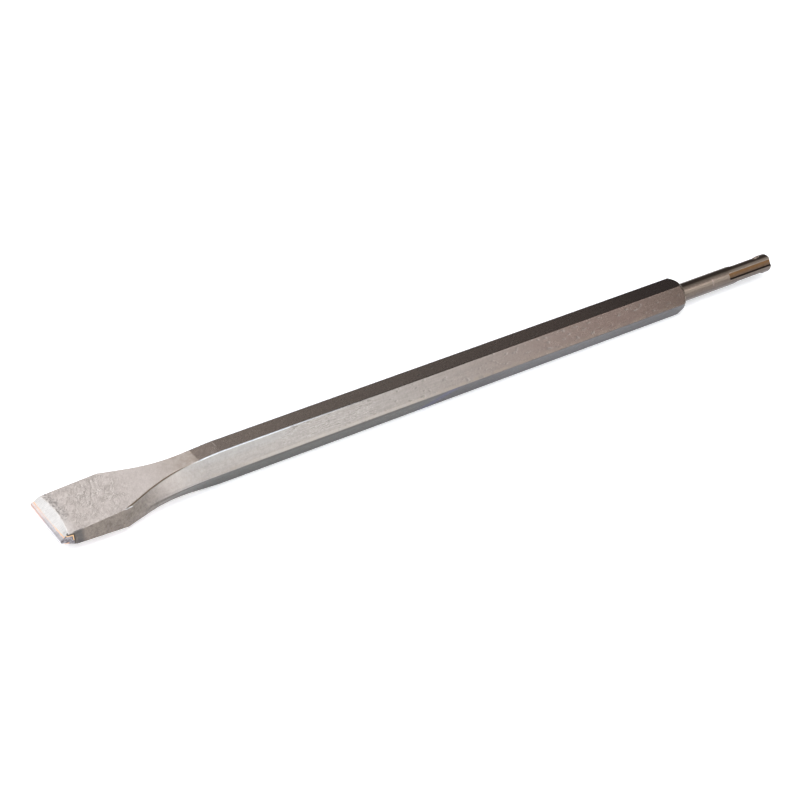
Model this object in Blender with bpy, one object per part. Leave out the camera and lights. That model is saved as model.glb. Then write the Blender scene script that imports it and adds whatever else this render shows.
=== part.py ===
"""Flat chisel for a rotary hammer, made as one solid from a length of hexagonal bar.

The bar lies along X on one of its flats, with Z up: the cutting edge is at the -X end and the
shank at the +X end. Hot forging flattens the front of the bar into a neck that flares out to a
tapering blade, and a bevel is ground on each side of its edge. The rear of the bar is turned
down to a slotted 10 mm shank behind a coned shoulder. The origin is under the middle of the
chisel's length, on the surface that it lies on. Lengths are in metres.
"""

import math

import bmesh
import bpy
from mathutils import Vector

MM = 0.001

# Hexagonal bar
HEX_FLATS = 17.5 * MM
HEX_EDGE_BREAK = 0.45 * MM
BODY_LENGTH = 361.6 * MM

# Forged blade, from its cutting edge back to the corners where the neck begins
BLADE_LENGTH = 32.0 * MM
EDGE_WIDTH = 33.0 * MM
ROOT_WIDTH = 31.8 * MM
ROOT_THICKNESS = 10.2 * MM
BLADE_EDGE_BREAK = 0.6 * MM
SIDE_CROWN = 0.4 * MM
SIDE_ROUNDING = 3.2 * MM
CORNER_EASE = 0.4 * MM

# Ground bevels
BEVEL_LENGTH = 5.0 * MM
HEEL_THICKNESS = 6.7 * MM
EDGE_LAND = 1.2 * MM

# Forged neck, from the blade's corners back to the untouched bar
NECK_LENGTH = 53.5 * MM
SIDE_FLARE_LENGTH = 51.5 * MM
FACE_FLARE_LENGTH = 38.0 * MM
FLARE_RUN = 12.5 * MM
BAR_HANDLE = 10.0 * MM
BLADE_HANDLE = 30.0 * MM

# Turned shoulder and shank
SHANK_LENGTH = 65.4 * MM
SHANK_DIAMETER = 10.0 * MM
SHOULDER_DIAMETER = 16.2 * MM
SHOULDER_CONE_ANGLE = math.radians(36.0)
SHANK_FILLET = 1.5 * MM
SHANK_END_ROUNDING = 1.6 * MM

# Slots in the shank, with the first drive slot square to the upper near flat of the bar
DRIVE_SLOT_LENGTH = 31.0 * MM
DRIVE_SLOT_FLOOR_WIDTH = 3.3 * MM
DRIVE_SLOT_MOUTH_WIDTH = 4.2 * MM
DRIVE_SLOT_DEPTH = 1.8 * MM
DRIVE_SLOT_END_ROUNDING = 0.8 * MM
LOCK_POCKET_START = 4.5 * MM
LOCK_POCKET_LENGTH = 22.5 * MM
LOCK_POCKET_RADIUS = 3.6 * MM
LOCK_POCKET_DEPTH = 2.2 * MM
DRIVE_SLOT_ANGLE = math.radians(30.0)

# Facets and working allowances
CORNER_STEPS = 3
NECK_STEPS = 20
TURNING_STEPS = 96
PROFILE_ARC_STEPS = 5
POCKET_STEPS = 32
SLOT_END_STEPS = 4
MOST_OF_A_SIDE = 0.4
HALVINGS = 40
MERGE_DISTANCE = 0.01 * MM
CUTTER_OVERLAP = 2.0 * MM
SMOOTH_ANGLE = math.radians(30.0)

# Finish
STEEL_COLOUR = (0.36, 0.33, 0.30, 1.0)
STEEL_METALLIC = 0.9
STEEL_ROUGHNESS = 0.42

# Places along the length
TOTAL_LENGTH = BODY_LENGTH + SHANK_LENGTH
EDGE_X = -TOTAL_LENGTH / 2
HEEL_X = EDGE_X + BEVEL_LENGTH
ROOT_X = EDGE_X + BLADE_LENGTH
NECK_END_X = ROOT_X + NECK_LENGTH
SHOULDER_X = EDGE_X + BODY_LENGTH
SHANK_END_X = SHOULDER_X + SHANK_LENGTH

# Half sizes of the bar's section
AXIS_HEIGHT = HEX_FLATS / 2
BAR_FACE_HALF = HEX_FLATS / (2 * math.sqrt(3))
BAR_RIDGE_HALF = HEX_FLATS / math.sqrt(3)
SHANK_RADIUS = SHANK_DIAMETER / 2


def soft_lesser(first, second, softness):
    """The lesser of two values, with the change from one to the other rounded off."""
    share = max(softness - abs(first - second), 0.0) / softness
    return min(first, second) - share * share * softness / 4


def flare(distance, length, rise):
    """Height of a curve that leaves the bar as its tangent and climbs `rise` over `length`.

    It is a parabola that goes over into a straight run of FLARE_RUN before the blade's corner.
    """
    curved = length - FLARE_RUN
    steepness = rise / (curved * (length + FLARE_RUN))
    along = min(max(distance, 0.0), curved)
    straight = max(distance - curved, 0.0)
    return steepness * (along * along + 2 * curved * straight)


def blade_half_width(x):
    """Half the blade's width at x, on the straight line from its edge to its root."""
    share = (x - EDGE_X) / BLADE_LENGTH
    return (EDGE_WIDTH + (ROOT_WIDTH - EDGE_WIDTH) * share) / 2


def flared_half_width(x, bar_half, length, crown):
    """Half width of a line that follows the bar, flares through the neck and runs along the blade."""
    rise = ROOT_WIDTH / 2 + crown - bar_half
    necked = bar_half + flare(ROOT_X + length - x, length, rise)
    return soft_lesser(necked, blade_half_width(x) + crown, CORNER_EASE)


def blade_taper():
    """Loss of half thickness per metre from the blade's root to the heel of the bevels."""
    return (ROOT_THICKNESS - HEEL_THICKNESS) / 2 / (BLADE_LENGTH - BEVEL_LENGTH)


def cubic(points, share):
    """Value of a cubic Bezier polynomial with four control values."""
    rest = 1 - share
    weights = (rest**3, 3 * rest**2 * share, 3 * rest * share**2, share**3)
    return sum(weight * point for weight, point in zip(weights, points))


def neck_half_thickness(x):
    """Half thickness of the neck, on a Bezier curve that is tangent to the bar and to the blade."""
    places = (NECK_END_X, NECK_END_X - BAR_HANDLE, ROOT_X + BLADE_HANDLE, ROOT_X)
    root = ROOT_THICKNESS / 2
    heights = (AXIS_HEIGHT, AXIS_HEIGHT, root + blade_taper() * BLADE_HANDLE, root)
    low, high = 0.0, 1.0
    for _ in range(HALVINGS):
        middle = (low + high) / 2
        if cubic(places, middle) > x:
            low = middle
        else:
            high = middle
    return cubic(heights, low)


def half_thickness(x):
    """Half the thickness between the upper and lower faces at x."""
    if x >= NECK_END_X:
        return AXIS_HEIGHT
    if x >= ROOT_X:
        return neck_half_thickness(x)
    if x >= HEEL_X:
        return HEEL_THICKNESS / 2 + blade_taper() * (x - HEEL_X)
    share = (x - EDGE_X) / BEVEL_LENGTH
    return (EDGE_LAND + (HEEL_THICKNESS - EDGE_LAND) * share) / 2


def neck_blend(x, bar_value, blade_value):
    """A value that eases from the bar's to the blade's through the neck."""
    share = min(max((NECK_END_X - x) / NECK_LENGTH, 0.0), 1.0)
    eased = share * share * (3 - 2 * share)
    return bar_value + (blade_value - bar_value) * eased


def rounded_corner(before, corner, after, setback):
    """Points of the circular arc that rounds a corner, as a rational quadratic curve."""
    to_before = before - corner
    to_after = after - corner
    reach = min(setback, MOST_OF_A_SIDE * min(to_before.length, to_after.length))
    start = corner + to_before.normalized() * reach
    end = corner + to_after.normalized() * reach
    weight = math.sin(to_before.angle(to_after) / 2)
    points = []
    for step in range(CORNER_STEPS + 1):
        share = step / CORNER_STEPS
        rest = 1 - share
        parts = (rest * rest, 2 * weight * rest * share, share * share)
        blend = start * parts[0] + corner * parts[1] + end * parts[2]
        points.append(blend / sum(parts))
    return points


def section(x):
    """One closed ring of points round the forged bar at x, seen as a six-sided outline."""
    face = flared_half_width(x, BAR_FACE_HALF, FACE_FLARE_LENGTH, 0.0)
    ridge = flared_half_width(x, BAR_RIDGE_HALF, SIDE_FLARE_LENGTH, SIDE_CROWN)
    half = half_thickness(x)
    edge_break = neck_blend(x, HEX_EDGE_BREAK, BLADE_EDGE_BREAK)
    ridge_break = neck_blend(x, HEX_EDGE_BREAK, SIDE_ROUNDING)
    outline = (
        ((face, half), edge_break),
        ((-face, half), edge_break),
        ((-ridge, 0.0), ridge_break),
        ((-face, -half), edge_break),
        ((face, -half), edge_break),
        ((ridge, 0.0), ridge_break),
    )
    corners = [Vector((x, across, AXIS_HEIGHT + up)) for (across, up), _ in outline]
    ring = []
    for index, (_, setback) in enumerate(outline):
        before = corners[index - 1]
        after = corners[(index + 1) % len(corners)]
        ring += rounded_corner(before, corners[index], after, setback)
    return ring


def section_places():
    """Where the rings stand along X, closer together at the blade's corners."""
    blade = [EDGE_X, HEEL_X, (HEEL_X + ROOT_X) / 2]
    corner = [ROOT_X + step * CORNER_EASE for step in (-2, -1, 0, 1, 2)]
    first = corner[-1]
    neck = [first + (NECK_END_X - first) * step / NECK_STEPS for step in range(1, NECK_STEPS + 1)]
    return blade + corner + neck + [SHANK_END_X + CUTTER_OVERLAP]


def mesh_object(name, shape):
    """An object made from a bmesh, with its faces outward and its round surfaces smooth."""
    bmesh.ops.recalc_face_normals(shape, faces=shape.faces)
    mesh = bpy.data.meshes.new(name)
    shape.to_mesh(mesh)
    shape.free()
    mesh.shade_smooth()
    mesh.set_sharp_from_angle(angle=SMOOTH_ANGLE)
    made = bpy.data.objects.new(name, mesh)
    bpy.context.scene.collection.objects.link(made)
    return made


def loft(shape, rings):
    """Faces between neighbouring rings of points, with a cap on the first and the last."""
    rows = [[shape.verts.new(point) for point in ring] for ring in rings]
    for row, following in zip(rows, rows[1:]):
        for index in range(len(row)):
            shape.faces.new((row[index - 1], row[index], following[index], following[index - 1]))
    shape.faces.new(rows[0])
    shape.faces.new(rows[-1])


def forged_bar():
    """The hexagonal bar with its neck, blade and bevels, long enough to hold the shank."""
    shape = bmesh.new()
    loft(shape, [section(x) for x in section_places()])
    return mesh_object("flat_chisel", shape)


def arc(centre_x, centre_r, radius, start, end):
    """Points (x, r) of an arc in a turning profile, between two angles in radians."""
    turns = [start + (end - start) * step / PROFILE_ARC_STEPS for step in range(PROFILE_ARC_STEPS + 1)]
    return [
        (centre_x + radius * math.cos(turn), centre_r + radius * math.sin(turn)) for turn in turns
    ]


def revolve(name, profile, axis_height, steps):
    """A solid turned about a line along X from a profile of (x, r) points that ends on that line."""
    shape = bmesh.new()
    verts = [shape.verts.new((x, 0.0, axis_height + radius)) for x, radius in profile]
    edges = [shape.edges.new(pair) for pair in zip(verts, verts[1:])]
    bmesh.ops.spin(
        shape,
        geom=verts + edges,
        cent=(0.0, 0.0, axis_height),
        axis=(1.0, 0.0, 0.0),
        angle=math.tau,
        steps=steps,
        use_merge=True,
    )
    bmesh.ops.remove_doubles(shape, verts=shape.verts, dist=MERGE_DISTANCE)
    return mesh_object(name, shape)


def turned_envelope():
    """What the lathe leaves: the coned shoulder, its face, the fillet and the shank."""
    wide = max(EDGE_WIDTH, ROOT_WIDTH, 2 * BAR_RIDGE_HALF) + CUTTER_OVERLAP
    shoulder_radius = SHOULDER_DIAMETER / 2
    cone_x = SHOULDER_X - (wide - shoulder_radius) / math.tan(SHOULDER_CONE_ANGLE)
    front_x = EDGE_X - CUTTER_OVERLAP
    fillet = arc(
        SHOULDER_X + SHANK_FILLET, SHANK_RADIUS + SHANK_FILLET, SHANK_FILLET, math.pi, 1.5 * math.pi
    )
    rounding = arc(
        SHANK_END_X - SHANK_END_ROUNDING,
        SHANK_RADIUS - SHANK_END_ROUNDING,
        SHANK_END_ROUNDING,
        math.pi / 2,
        0.0,
    )
    profile = [(front_x, 0.0), (front_x, wide), (cone_x, wide), (SHOULDER_X, shoulder_radius)]
    profile += fillet + rounding + [(SHANK_END_X, 0.0)]
    return revolve("turned_envelope", profile, AXIS_HEIGHT, TURNING_STEPS)


def drive_slot_cutter():
    """A wedge-shaped bar for one open slot, with its walls opening outward and its end rounded."""
    floor = SHANK_RADIUS - DRIVE_SLOT_DEPTH
    slope = (DRIVE_SLOT_MOUTH_WIDTH - DRIVE_SLOT_FLOOR_WIDTH) / 2 / DRIVE_SLOT_DEPTH
    half_floor = DRIVE_SLOT_FLOOR_WIDTH / 2
    top = SHANK_RADIUS + CUTTER_OVERLAP
    half_top = half_floor + slope * (top - floor)
    start = SHANK_END_X - DRIVE_SLOT_LENGTH
    end = SHANK_END_X + CUTTER_OVERLAP
    outline = ((half_floor, floor), (half_top, top), (-half_top, top), (-half_floor, floor))
    shape = bmesh.new()
    rows = [[shape.verts.new((x, across, up)) for across, up in outline] for x in (start, end)]
    for index in range(len(outline)):
        shape.faces.new((rows[0][index - 1], rows[0][index], rows[1][index], rows[1][index - 1]))
    shape.faces.new(rows[0])
    shape.faces.new(rows[1])
    shape.edges.ensure_lookup_table()
    uprights = [shape.edges.get((rows[0][0], rows[0][1])), shape.edges.get((rows[0][2], rows[0][3]))]
    bmesh.ops.bevel(
        shape,
        geom=uprights,
        offset=DRIVE_SLOT_END_ROUNDING,
        offset_type="OFFSET",
        segments=SLOT_END_STEPS,
        profile=0.5,
        affect="EDGES",
    )
    return mesh_object("drive_slot_cutter", shape)


def lock_pocket_cutter():
    """A round-ended bar for one closed pocket, as left by a ball moved along the shank."""
    centre_height = SHANK_RADIUS - LOCK_POCKET_DEPTH + LOCK_POCKET_RADIUS
    overhang = centre_height - SHANK_RADIUS
    end_reach = math.sqrt(LOCK_POCKET_RADIUS**2 - overhang**2)
    last_x = SHANK_END_X - LOCK_POCKET_START - end_reach
    first_x = SHANK_END_X - LOCK_POCKET_START - LOCK_POCKET_LENGTH + end_reach
    profile = arc(first_x, 0.0, LOCK_POCKET_RADIUS, math.pi, math.pi / 2)
    profile += arc(last_x, 0.0, LOCK_POCKET_RADIUS, math.pi / 2, 0.0)
    return revolve("lock_pocket_cutter", profile, centre_height, POCKET_STEPS)


def place_round_axis(made, angle):
    """Turns a cutter, drawn pointing up from the axis, to an angle above the near side."""
    made.rotation_euler = (math.pi / 2 - angle, 0.0, 0.0)
    made.location = (0.0, 0.0, AXIS_HEIGHT)


def cut(target, tool, operation):
    """Adds an exact Boolean to the target and leaves the tool out of the picture."""
    tool.hide_render = True
    tool.display_type = "WIRE"
    modifier = target.modifiers.new(f"{operation.lower()}_{tool.name}", "BOOLEAN")
    modifier.operation = operation
    modifier.solver = "EXACT"
    modifier.object = tool


def forged_steel():
    """Oxidised forged tool steel."""
    material = bpy.data.materials.new("forged_steel")
    material.use_nodes = True
    shader = material.node_tree.nodes["Principled BSDF"]
    shader.inputs["Base Color"].default_value = STEEL_COLOUR
    shader.inputs["Metallic"].default_value = STEEL_METALLIC
    shader.inputs["Roughness"].default_value = STEEL_ROUGHNESS
    return material


def main():
    """Clears the scene and builds the chisel."""
    for leftover in list(bpy.data.objects):
        bpy.data.objects.remove(leftover, do_unlink=True)
    chisel = forged_bar()
    chisel.data.materials.append(forged_steel())
    cut(chisel, turned_envelope(), "INTERSECT")
    for turn in range(2):
        slot = drive_slot_cutter()
        place_round_axis(slot, DRIVE_SLOT_ANGLE + turn * math.pi)
        cut(chisel, slot, "DIFFERENCE")
        pocket = lock_pocket_cutter()
        place_round_axis(pocket, DRIVE_SLOT_ANGLE + math.pi / 2 + turn * math.pi)
        cut(chisel, pocket, "DIFFERENCE")


main()
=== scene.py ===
"""Look of a forged flat chisel with a slotted shank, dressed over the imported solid.

The whole chisel is one forging, so it is one closed surface here: rings of points that follow each
other along X, from the cutting edge at -X to the end of the shank at +X. The shapes are arrays over
(ring, column), and each ring has the same columns. Lengths are in metres, with Z up.
"""

import logging
import math
from dataclasses import dataclass
from enum import Enum, IntEnum

import bpy
import numpy as np
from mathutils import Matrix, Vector


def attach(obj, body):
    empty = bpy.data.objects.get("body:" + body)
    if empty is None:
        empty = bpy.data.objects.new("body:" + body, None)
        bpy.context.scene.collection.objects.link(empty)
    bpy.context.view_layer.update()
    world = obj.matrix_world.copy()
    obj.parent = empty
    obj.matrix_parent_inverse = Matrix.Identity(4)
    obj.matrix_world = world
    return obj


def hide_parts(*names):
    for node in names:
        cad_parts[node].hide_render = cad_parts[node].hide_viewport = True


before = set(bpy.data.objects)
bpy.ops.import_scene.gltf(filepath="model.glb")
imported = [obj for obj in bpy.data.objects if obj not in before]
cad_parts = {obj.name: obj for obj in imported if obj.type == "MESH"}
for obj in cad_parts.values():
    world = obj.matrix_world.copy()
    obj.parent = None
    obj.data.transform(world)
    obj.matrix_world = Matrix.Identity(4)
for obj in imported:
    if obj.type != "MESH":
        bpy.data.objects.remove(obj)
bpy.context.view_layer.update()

MM = 0.001
TOTAL_LENGTH = 427.0 * MM
EDGE_X = -TOTAL_LENGTH / 2
SHOULDER_X = EDGE_X + 361.6 * MM
AXIS_HEIGHT = 8.75 * MM
COLUMNS = 200

WHITE = (1.0, 1.0, 1.0, 1.0)

LOG = logging.getLogger("flat_chisel")

Pair = tuple[float, float]
Colour = tuple[float, float, float]


# Curves and arrays


class Corner(IntEnum):
    """The six corners of the forged section, in the order of its columns."""

    FAR_TOP = 0
    NEAR_TOP = 1
    NEAR_RIDGE = 2
    NEAR_BOTTOM = 3
    FAR_BOTTOM = 4
    FAR_RIDGE = 5


FACE_STARTS = (Corner.FAR_TOP, Corner.NEAR_BOTTOM)


def eased(value: np.ndarray, low: float, high: float) -> np.ndarray:
    """A value's share of the way from low to high, as 3s^2 - 2s^3.

    Args:
        value: What is measured.
        low: Where the share is 0.
        high: Where the share is 1. It may be less than low.

    Returns:
        The share, from 0 to 1.
    """
    share = np.clip((value - low) / (high - low), 0.0, 1.0)
    return share * share * (3 - 2 * share)


def waves(seed: int, spans: tuple[float, ...], *places: np.ndarray) -> np.ndarray:
    """Uneven hand work, as the mean of one sine for each span, each in its own direction.

    Args:
        seed: Chooses the directions and phases.
        spans: The sines' wavelengths.
        places: The coordinates that the sines run over.

    Returns:
        A height from -1 to 1 at each place.
    """
    dice = np.random.default_rng(seed)
    total = np.zeros(np.broadcast(*places).shape)
    for span in spans:
        direction = dice.normal(size=len(places))
        direction /= np.linalg.norm(direction)
        along = sum(part * place for part, place in zip(direction, places))
        total += np.sin(math.tau * along / span + dice.uniform(0, math.tau))
    return total / len(spans)


def unit(vectors: np.ndarray) -> np.ndarray:
    """Vectors along the last axis, divided by their lengths."""
    return vectors / np.linalg.norm(vectors, axis=-1, keepdims=True)


def runs(*stops: Pair) -> np.ndarray:
    """Places along X, evenly spaced within each run.

    Args:
        stops: Pairs of a run's start and its spacing. The last pair is the end of the last run.

    Returns:
        The places, from the first start to the last one.
    """
    pieces = []
    for (start, spacing), (stop, _) in zip(stops, stops[1:]):
        count = max(1, round((stop - start) / spacing))
        pieces.append(np.linspace(start, stop, count, endpoint=False))
    return np.concatenate(pieces + [np.array([stops[-1][0]])])


def placed(name: str, data: bpy.types.ID) -> bpy.types.Object:
    """Makes an object and puts it in the scene.

    Args:
        name: Its name.
        data: Its mesh, lamp or camera.

    Returns:
        The object.
    """
    made = bpy.data.objects.new(name, data)
    bpy.context.scene.collection.objects.link(made)
    return made


# Shapes


@dataclass(frozen=True)
class Surface:
    """Rings of points, and fields for the finish. A field that a surface leaves out is 0 on it."""

    points: np.ndarray
    fields: dict[str, np.ndarray]


@dataclass(frozen=True)
class ForgedBar:
    """The blade, the neck, the hexagonal bar and its coned shoulder."""

    flats: float = 17.5 * MM
    edge_break: float = 0.45 * MM
    shoulder_radius: float = 8.1 * MM
    cone_angle: float = math.radians(36.0)
    cone_blend: float = 0.05 * MM
    blade_length: float = 32.0 * MM
    edge_width: float = 33.0 * MM
    root_width: float = 31.8 * MM
    root_thickness: float = 10.2 * MM
    heel_thickness: float = 6.7 * MM
    heel_distance: float = 5.0 * MM
    heel_line_distance: float = 5.9 * MM
    heel_line_bow: float = 6.5
    heel_line_middle: float = 2.0 * MM
    heel_line_wobble: float = 0.16 * MM
    wobble_spans: tuple[float, ...] = (3.1 * MM, 5.3 * MM, 9.7 * MM)
    blade_edge_break: float = 0.4 * MM
    side_crown: float = 0.4 * MM
    side_rounding: float = 3.2 * MM
    corner_ease: float = 0.25 * MM
    rounding_limit: float = 0.4
    edge_land: float = 1.2 * MM
    nose_depth: float = 0.45 * MM
    nose_bluntness: float = 0.985
    neck_length: float = 53.5 * MM
    side_flare: float = 51.5 * MM
    face_flare: float = 38.0 * MM
    flare_run: float = 12.5 * MM
    fold: float = 0.32 * MM
    fold_place: float = 0.42
    fold_width: float = 0.2
    fold_shade_width: float = 0.22
    fold_reach: float = 1.6
    fold_begins: Pair = (-1.0 * MM, 1.5 * MM)
    fold_fades: Pair = (22 * MM, 46 * MM)
    nick_offset: float = 0.9 * MM
    nick_half: float = 2.4 * MM
    nick_reach: float = 0.3 * MM
    forged_fade: float = 12 * MM
    dent_shares: Pair = (0.018, 0.006)
    dent_spans: tuple[float, ...] = (23 * MM, 14 * MM, 9 * MM, 6 * MM)
    scale_relief: float = 0.035 * MM
    scale_spans: tuple[float, ...] = (5.6 * MM, 4.1 * MM, 3.1 * MM, 2.6 * MM)
    # Where the upper edges' painted highlight begins and fades behind the blade's corners, and how high
    # it lies.
    bright_begins: Pair = (36 * MM, 46 * MM)
    bright_fades: Pair = (75 * MM, 145 * MM)
    bright_heights: Pair = (2 * MM, 4 * MM)
    # How far behind the blade's corners the painted shade on the flanks starts to fade, and where it is
    # gone.
    flank_shade_reach: Pair = (1 * MM, 38 * MM)
    bar_handle: float = 10.0 * MM
    blade_handle: float = 30.0 * MM
    curve_samples: int = 400
    wear_reach: float = 10.0 * MM
    wear_planes: tuple[tuple[tuple[float, float, float], float], ...] = (
        ((-0.30, -0.70, -0.66), 0.24 * MM),
        ((-0.40, -0.80, 0.45), 0.18 * MM),
    )
    arc_columns: int = 9
    corner_swell: float = 2.5
    face_columns: int = 41
    flank_columns: int = 16

    @property
    def heel_x(self) -> float:
        """Where the tapering faces have the heel's thickness."""
        return EDGE_X + self.heel_distance

    @property
    def root_x(self) -> float:
        """Where the blade's corners are."""
        return EDGE_X + self.blade_length

    @property
    def neck_end_x(self) -> float:
        """Where the neck has become the untouched bar."""
        return self.root_x + self.neck_length

    def places(self) -> np.ndarray:
        """Where the rings stand, closest at the edge, the heel and the blade's corners.

        Returns:
            The places along X.
        """
        return runs(
            (EDGE_X, 0.065 * MM),
            (EDGE_X + 0.6 * MM, 0.24 * MM),
            (EDGE_X + 2.8 * MM, 0.15 * MM),
            (EDGE_X + 6.6 * MM, 0.8 * MM),
            (self.root_x - 2.4 * MM, 0.2 * MM),
            (self.root_x + 2.4 * MM, 0.5 * MM),
            (self.neck_end_x, 4.0 * MM),
            (SHOULDER_X - 3.5 * MM, 0.25 * MM),
            (SHOULDER_X, 0.0),
        )

    def half_width(self, x: np.ndarray, bar_half: float, length: float, crown: float) -> np.ndarray:
        """Half width of a line that follows the bar, flares and then runs along the blade.

        The flare is a parabola that leaves the bar as its tangent and goes over into a straight
        run. The lesser of flare and blade is taken, with the change between them rounded off.

        Args:
            x: Where the rings stand.
            bar_half: The line's distance from the axis on the bar.
            length: The flare's length.
            crown: How far the line stands out from the blade's side.

        Returns:
            The half width at each ring.
        """
        rise = self.root_width / 2 + crown - bar_half
        curved = length - self.flare_run
        distance = self.root_x + length - x
        along = np.clip(distance, 0.0, curved)
        straight = np.maximum(distance - curved, 0.0)
        steepness = rise / (curved * (length + self.flare_run))
        flared = bar_half + steepness * (along * along + 2 * curved * straight)
        share = (x - EDGE_X) / self.blade_length
        blade = (self.edge_width + (self.root_width - self.edge_width) * share) / 2 + crown
        overlap = np.maximum(self.corner_ease - np.abs(flared - blade), 0.0) / self.corner_ease
        return np.minimum(flared, blade) - overlap * overlap * self.corner_ease / 4

    def taper(self) -> float:
        """Half thickness that the blade loses per metre towards its edge."""
        return (self.root_thickness - self.heel_thickness) / 2 / (self.root_x - self.heel_x)

    def half_thickness(self, x: np.ndarray) -> np.ndarray:
        """Half thickness without the bevels: a straight taper, then a cubic Bezier curve to the bar.

        Args:
            x: Where the half thickness is wanted.

        Returns:
            The half thickness at each place.
        """
        share = np.linspace(0.0, 1.0, self.curve_samples)[:, None]
        rest = 1 - share
        weights = np.hstack([rest**3, 3 * rest**2 * share, 3 * rest * share**2, share**3])
        root, bar = self.root_thickness / 2, self.flats / 2
        handles = (self.root_x + self.blade_handle, self.neck_end_x - self.bar_handle)
        places = (self.root_x, *handles, self.neck_end_x)
        heights = (root, root + self.taper() * self.blade_handle, bar, bar)
        neck = np.interp(x, weights @ np.array(places), weights @ np.array(heights))
        blade = self.heel_thickness / 2 + self.taper() * (x - self.heel_x)
        return np.where(x < self.root_x, blade, neck)

    def heel_line(self, y: np.ndarray) -> np.ndarray:
        """Where the hand-ground bevel begins: a shallow parabola across the blade, with a wobble.

        Args:
            y: Where across the blade it is wanted.

        Returns:
            Its place along X.
        """
        bow = self.heel_line_bow * (y - self.heel_line_middle) ** 2
        wobble = self.heel_line_wobble * waves(3, self.wobble_spans, y)
        return EDGE_X + self.heel_line_distance - bow + wobble

    def behind_root(self, x: np.ndarray, reach: Pair) -> np.ndarray:
        """How far a place is from one distance behind the blade's corners to another, from 0 to 1."""
        return eased(x, self.root_x + reach[0], self.root_x + reach[1])

    def fold_depth(self, x: np.ndarray) -> np.ndarray:
        """Depth of the fold that forging left along the neck's near upper edge."""
        ends = 1 - self.behind_root(x, self.fold_fades)
        return self.fold * self.behind_root(x, self.fold_begins) * ends

    def across_fold(self, width: float) -> np.ndarray:
        """A bell over the columns of a rounded corner, with its top on the fold."""
        share = np.linspace(0.0, 1.0, self.arc_columns)
        return np.exp(-(((share - self.fold_place) / width) ** 2))

    def columns_after(self, corner: Corner) -> int:
        """How many columns follow a corner's rounding."""
        return self.face_columns if corner in FACE_STARTS else self.flank_columns

    def setbacks(self, x: np.ndarray) -> np.ndarray:
        """How far each corner's rounding reaches along its two sides.

        Args:
            x: Where the rings stand.

        Returns:
            One row for each ring, with a value for each corner.
        """
        blend = eased(x, self.neck_end_x, self.root_x)
        faces = self.edge_break + (self.blade_edge_break - self.edge_break) * blend
        ridges = self.edge_break + (self.side_rounding - self.edge_break) * blend
        reach = np.stack([faces, faces, ridges, faces, faces, ridges], axis=1)
        bruise = np.exp(-(((x - self.root_x - self.nick_offset) / self.nick_half) ** 2))
        reach[:, Corner.NEAR_TOP] += self.nick_reach * bruise + self.fold_reach * self.fold_depth(x)
        return reach

    def ring_outline(self, x: np.ndarray) -> np.ndarray:
        """The section at each ring: a hexagon whose corners are rounded with rational arcs.

        A rational quadratic curve with the sine of half the corner's angle as its middle weight is
        a circular arc. The fold is pressed into the arc of the near upper corner.

        Args:
            x: Where the rings stand.

        Returns:
            Points (across, up) about the axis, over (ring, column).
        """
        face = self.half_width(x, self.flats / (2 * math.sqrt(3)), self.face_flare, 0.0)
        ridge = self.half_width(x, self.flats / math.sqrt(3), self.side_flare, self.side_crown)
        half = self.half_thickness(x)
        level = np.zeros_like(x)
        across = np.stack([face, -face, -ridge, -face, face, ridge], axis=1)
        up = np.stack([half, half, level, -half, -half, level], axis=1)
        corners = np.stack([across, up], axis=2)
        before = np.roll(corners, 1, axis=1) - corners
        after = np.roll(corners, -1, axis=1) - corners
        shorter = np.minimum(np.linalg.norm(before, axis=2), np.linalg.norm(after, axis=2))
        reach = np.minimum(self.setbacks(x), self.rounding_limit * shorter)[..., None]
        start = corners + unit(before) * reach
        end = corners + unit(after) * reach
        cosine = np.sum(unit(before) * unit(after), axis=2)
        weight = np.sqrt((1 - cosine) / 2)[..., None]
        share = np.linspace(0.0, 1.0, self.arc_columns)
        ones = np.ones_like(weight)
        parts = [(1 - share) ** 2 * ones, 2 * weight * share * (1 - share), share**2 * ones]
        knots = zip(parts, (start, corners, end))
        arcs = sum(part[..., None] * point[:, :, None] for part, point in knots)
        arcs /= sum(parts)[..., None]
        inward = unit(unit(before) + unit(after))[:, Corner.NEAR_TOP, None]
        groove = self.across_fold(self.fold_width)[None, :, None]
        arcs[:, Corner.NEAR_TOP] += inward * groove * self.fold_depth(x)[:, None, None]
        following = np.roll(start, -1, axis=1)
        pieces = []
        for corner in Corner:
            columns = self.columns_after(corner)
            even = np.arange(1, columns + 1) / (columns + 1)
            spread = (0.5 * even + 0.25 * (1 - np.cos(math.pi * even)))[None, :, None]
            side = end[:, corner, None] * (1 - spread) + following[:, corner, None] * spread
            pieces += [arcs[:, corner], side]
        return np.concatenate(pieces, axis=1)

    def column_masks(self) -> tuple[np.ndarray, np.ndarray]:
        """Which columns are on the rounded corners, and which on the two flat faces.

        Returns:
            A value from 0 to 1 for each column, first for the corners and then for the faces.
        """
        arch = np.sin(np.linspace(0.0, math.pi, self.arc_columns))
        swell = np.minimum(self.corner_swell * arch, 1.0)
        corners, faces = [], []
        before = 0.0
        for corner in Corner:
            after = float(corner in FACE_STARTS)
            columns = self.columns_after(corner)
            corners += [swell, np.zeros(columns)]
            faces += [np.linspace(before, after, self.arc_columns), np.full(columns, after)]
            before = after
        return np.concatenate(corners), np.concatenate(faces)

    def worn_corner(self, *place: np.ndarray) -> list[np.ndarray]:
        """Planes wear off the edge's near end: each moves what is beyond it back along its normal.

        Args:
            place: The coordinates of the points.

        Returns:
            The coordinates after the wear.
        """
        place = list(place)
        tip = (EDGE_X, -self.edge_width / 2, 0.0)
        near = place[0] < EDGE_X + self.wear_reach
        for normal, depth in self.wear_planes:
            toward = unit(np.array(normal))
            beyond = depth + sum((part - start) * way for part, start, way in zip(place, tip, toward))
            moved = np.where(near, np.maximum(beyond, 0.0), 0.0)
            place = [part - moved * way for part, way in zip(place, toward)]
        place[0] = np.maximum(place[0], EDGE_X)
        return place

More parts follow.
